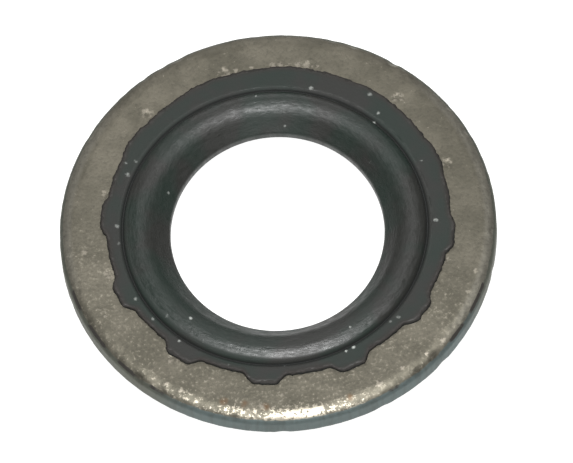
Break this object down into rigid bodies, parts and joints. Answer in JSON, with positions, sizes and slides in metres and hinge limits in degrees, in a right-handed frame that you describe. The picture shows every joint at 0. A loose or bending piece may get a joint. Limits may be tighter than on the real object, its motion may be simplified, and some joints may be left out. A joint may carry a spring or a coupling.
{
  "type": "bonded sealing washer",
  "caption": "Flat steel ring with a rubber sealing bead bonded round its hole, proud of both faces, and a thin lobed rubber skirt lapping onto each face.",
  "frame": {"origin": "centre of the hole, on the middle plane of the steel ring", "axes": "+Z along the hole, out of the face that is seen; both faces are alike; -Y is the side nearest the camera, where the lobes stand out most"},
  "size_m": [0.026, 0.026, 0.0028],
  "materials": {
    "plated_steel": "dull olive-grey plating, tumbled after blanking, with bright worn rims",
    "black_rubber": "moulded nitrile rubber, satin, with a slightly shiny bead"
  },
  "bodies": {
    "root": {"steel_ring": "plated_steel", "rubber_seal": "black_rubber"}
  },
  "joints": []
}
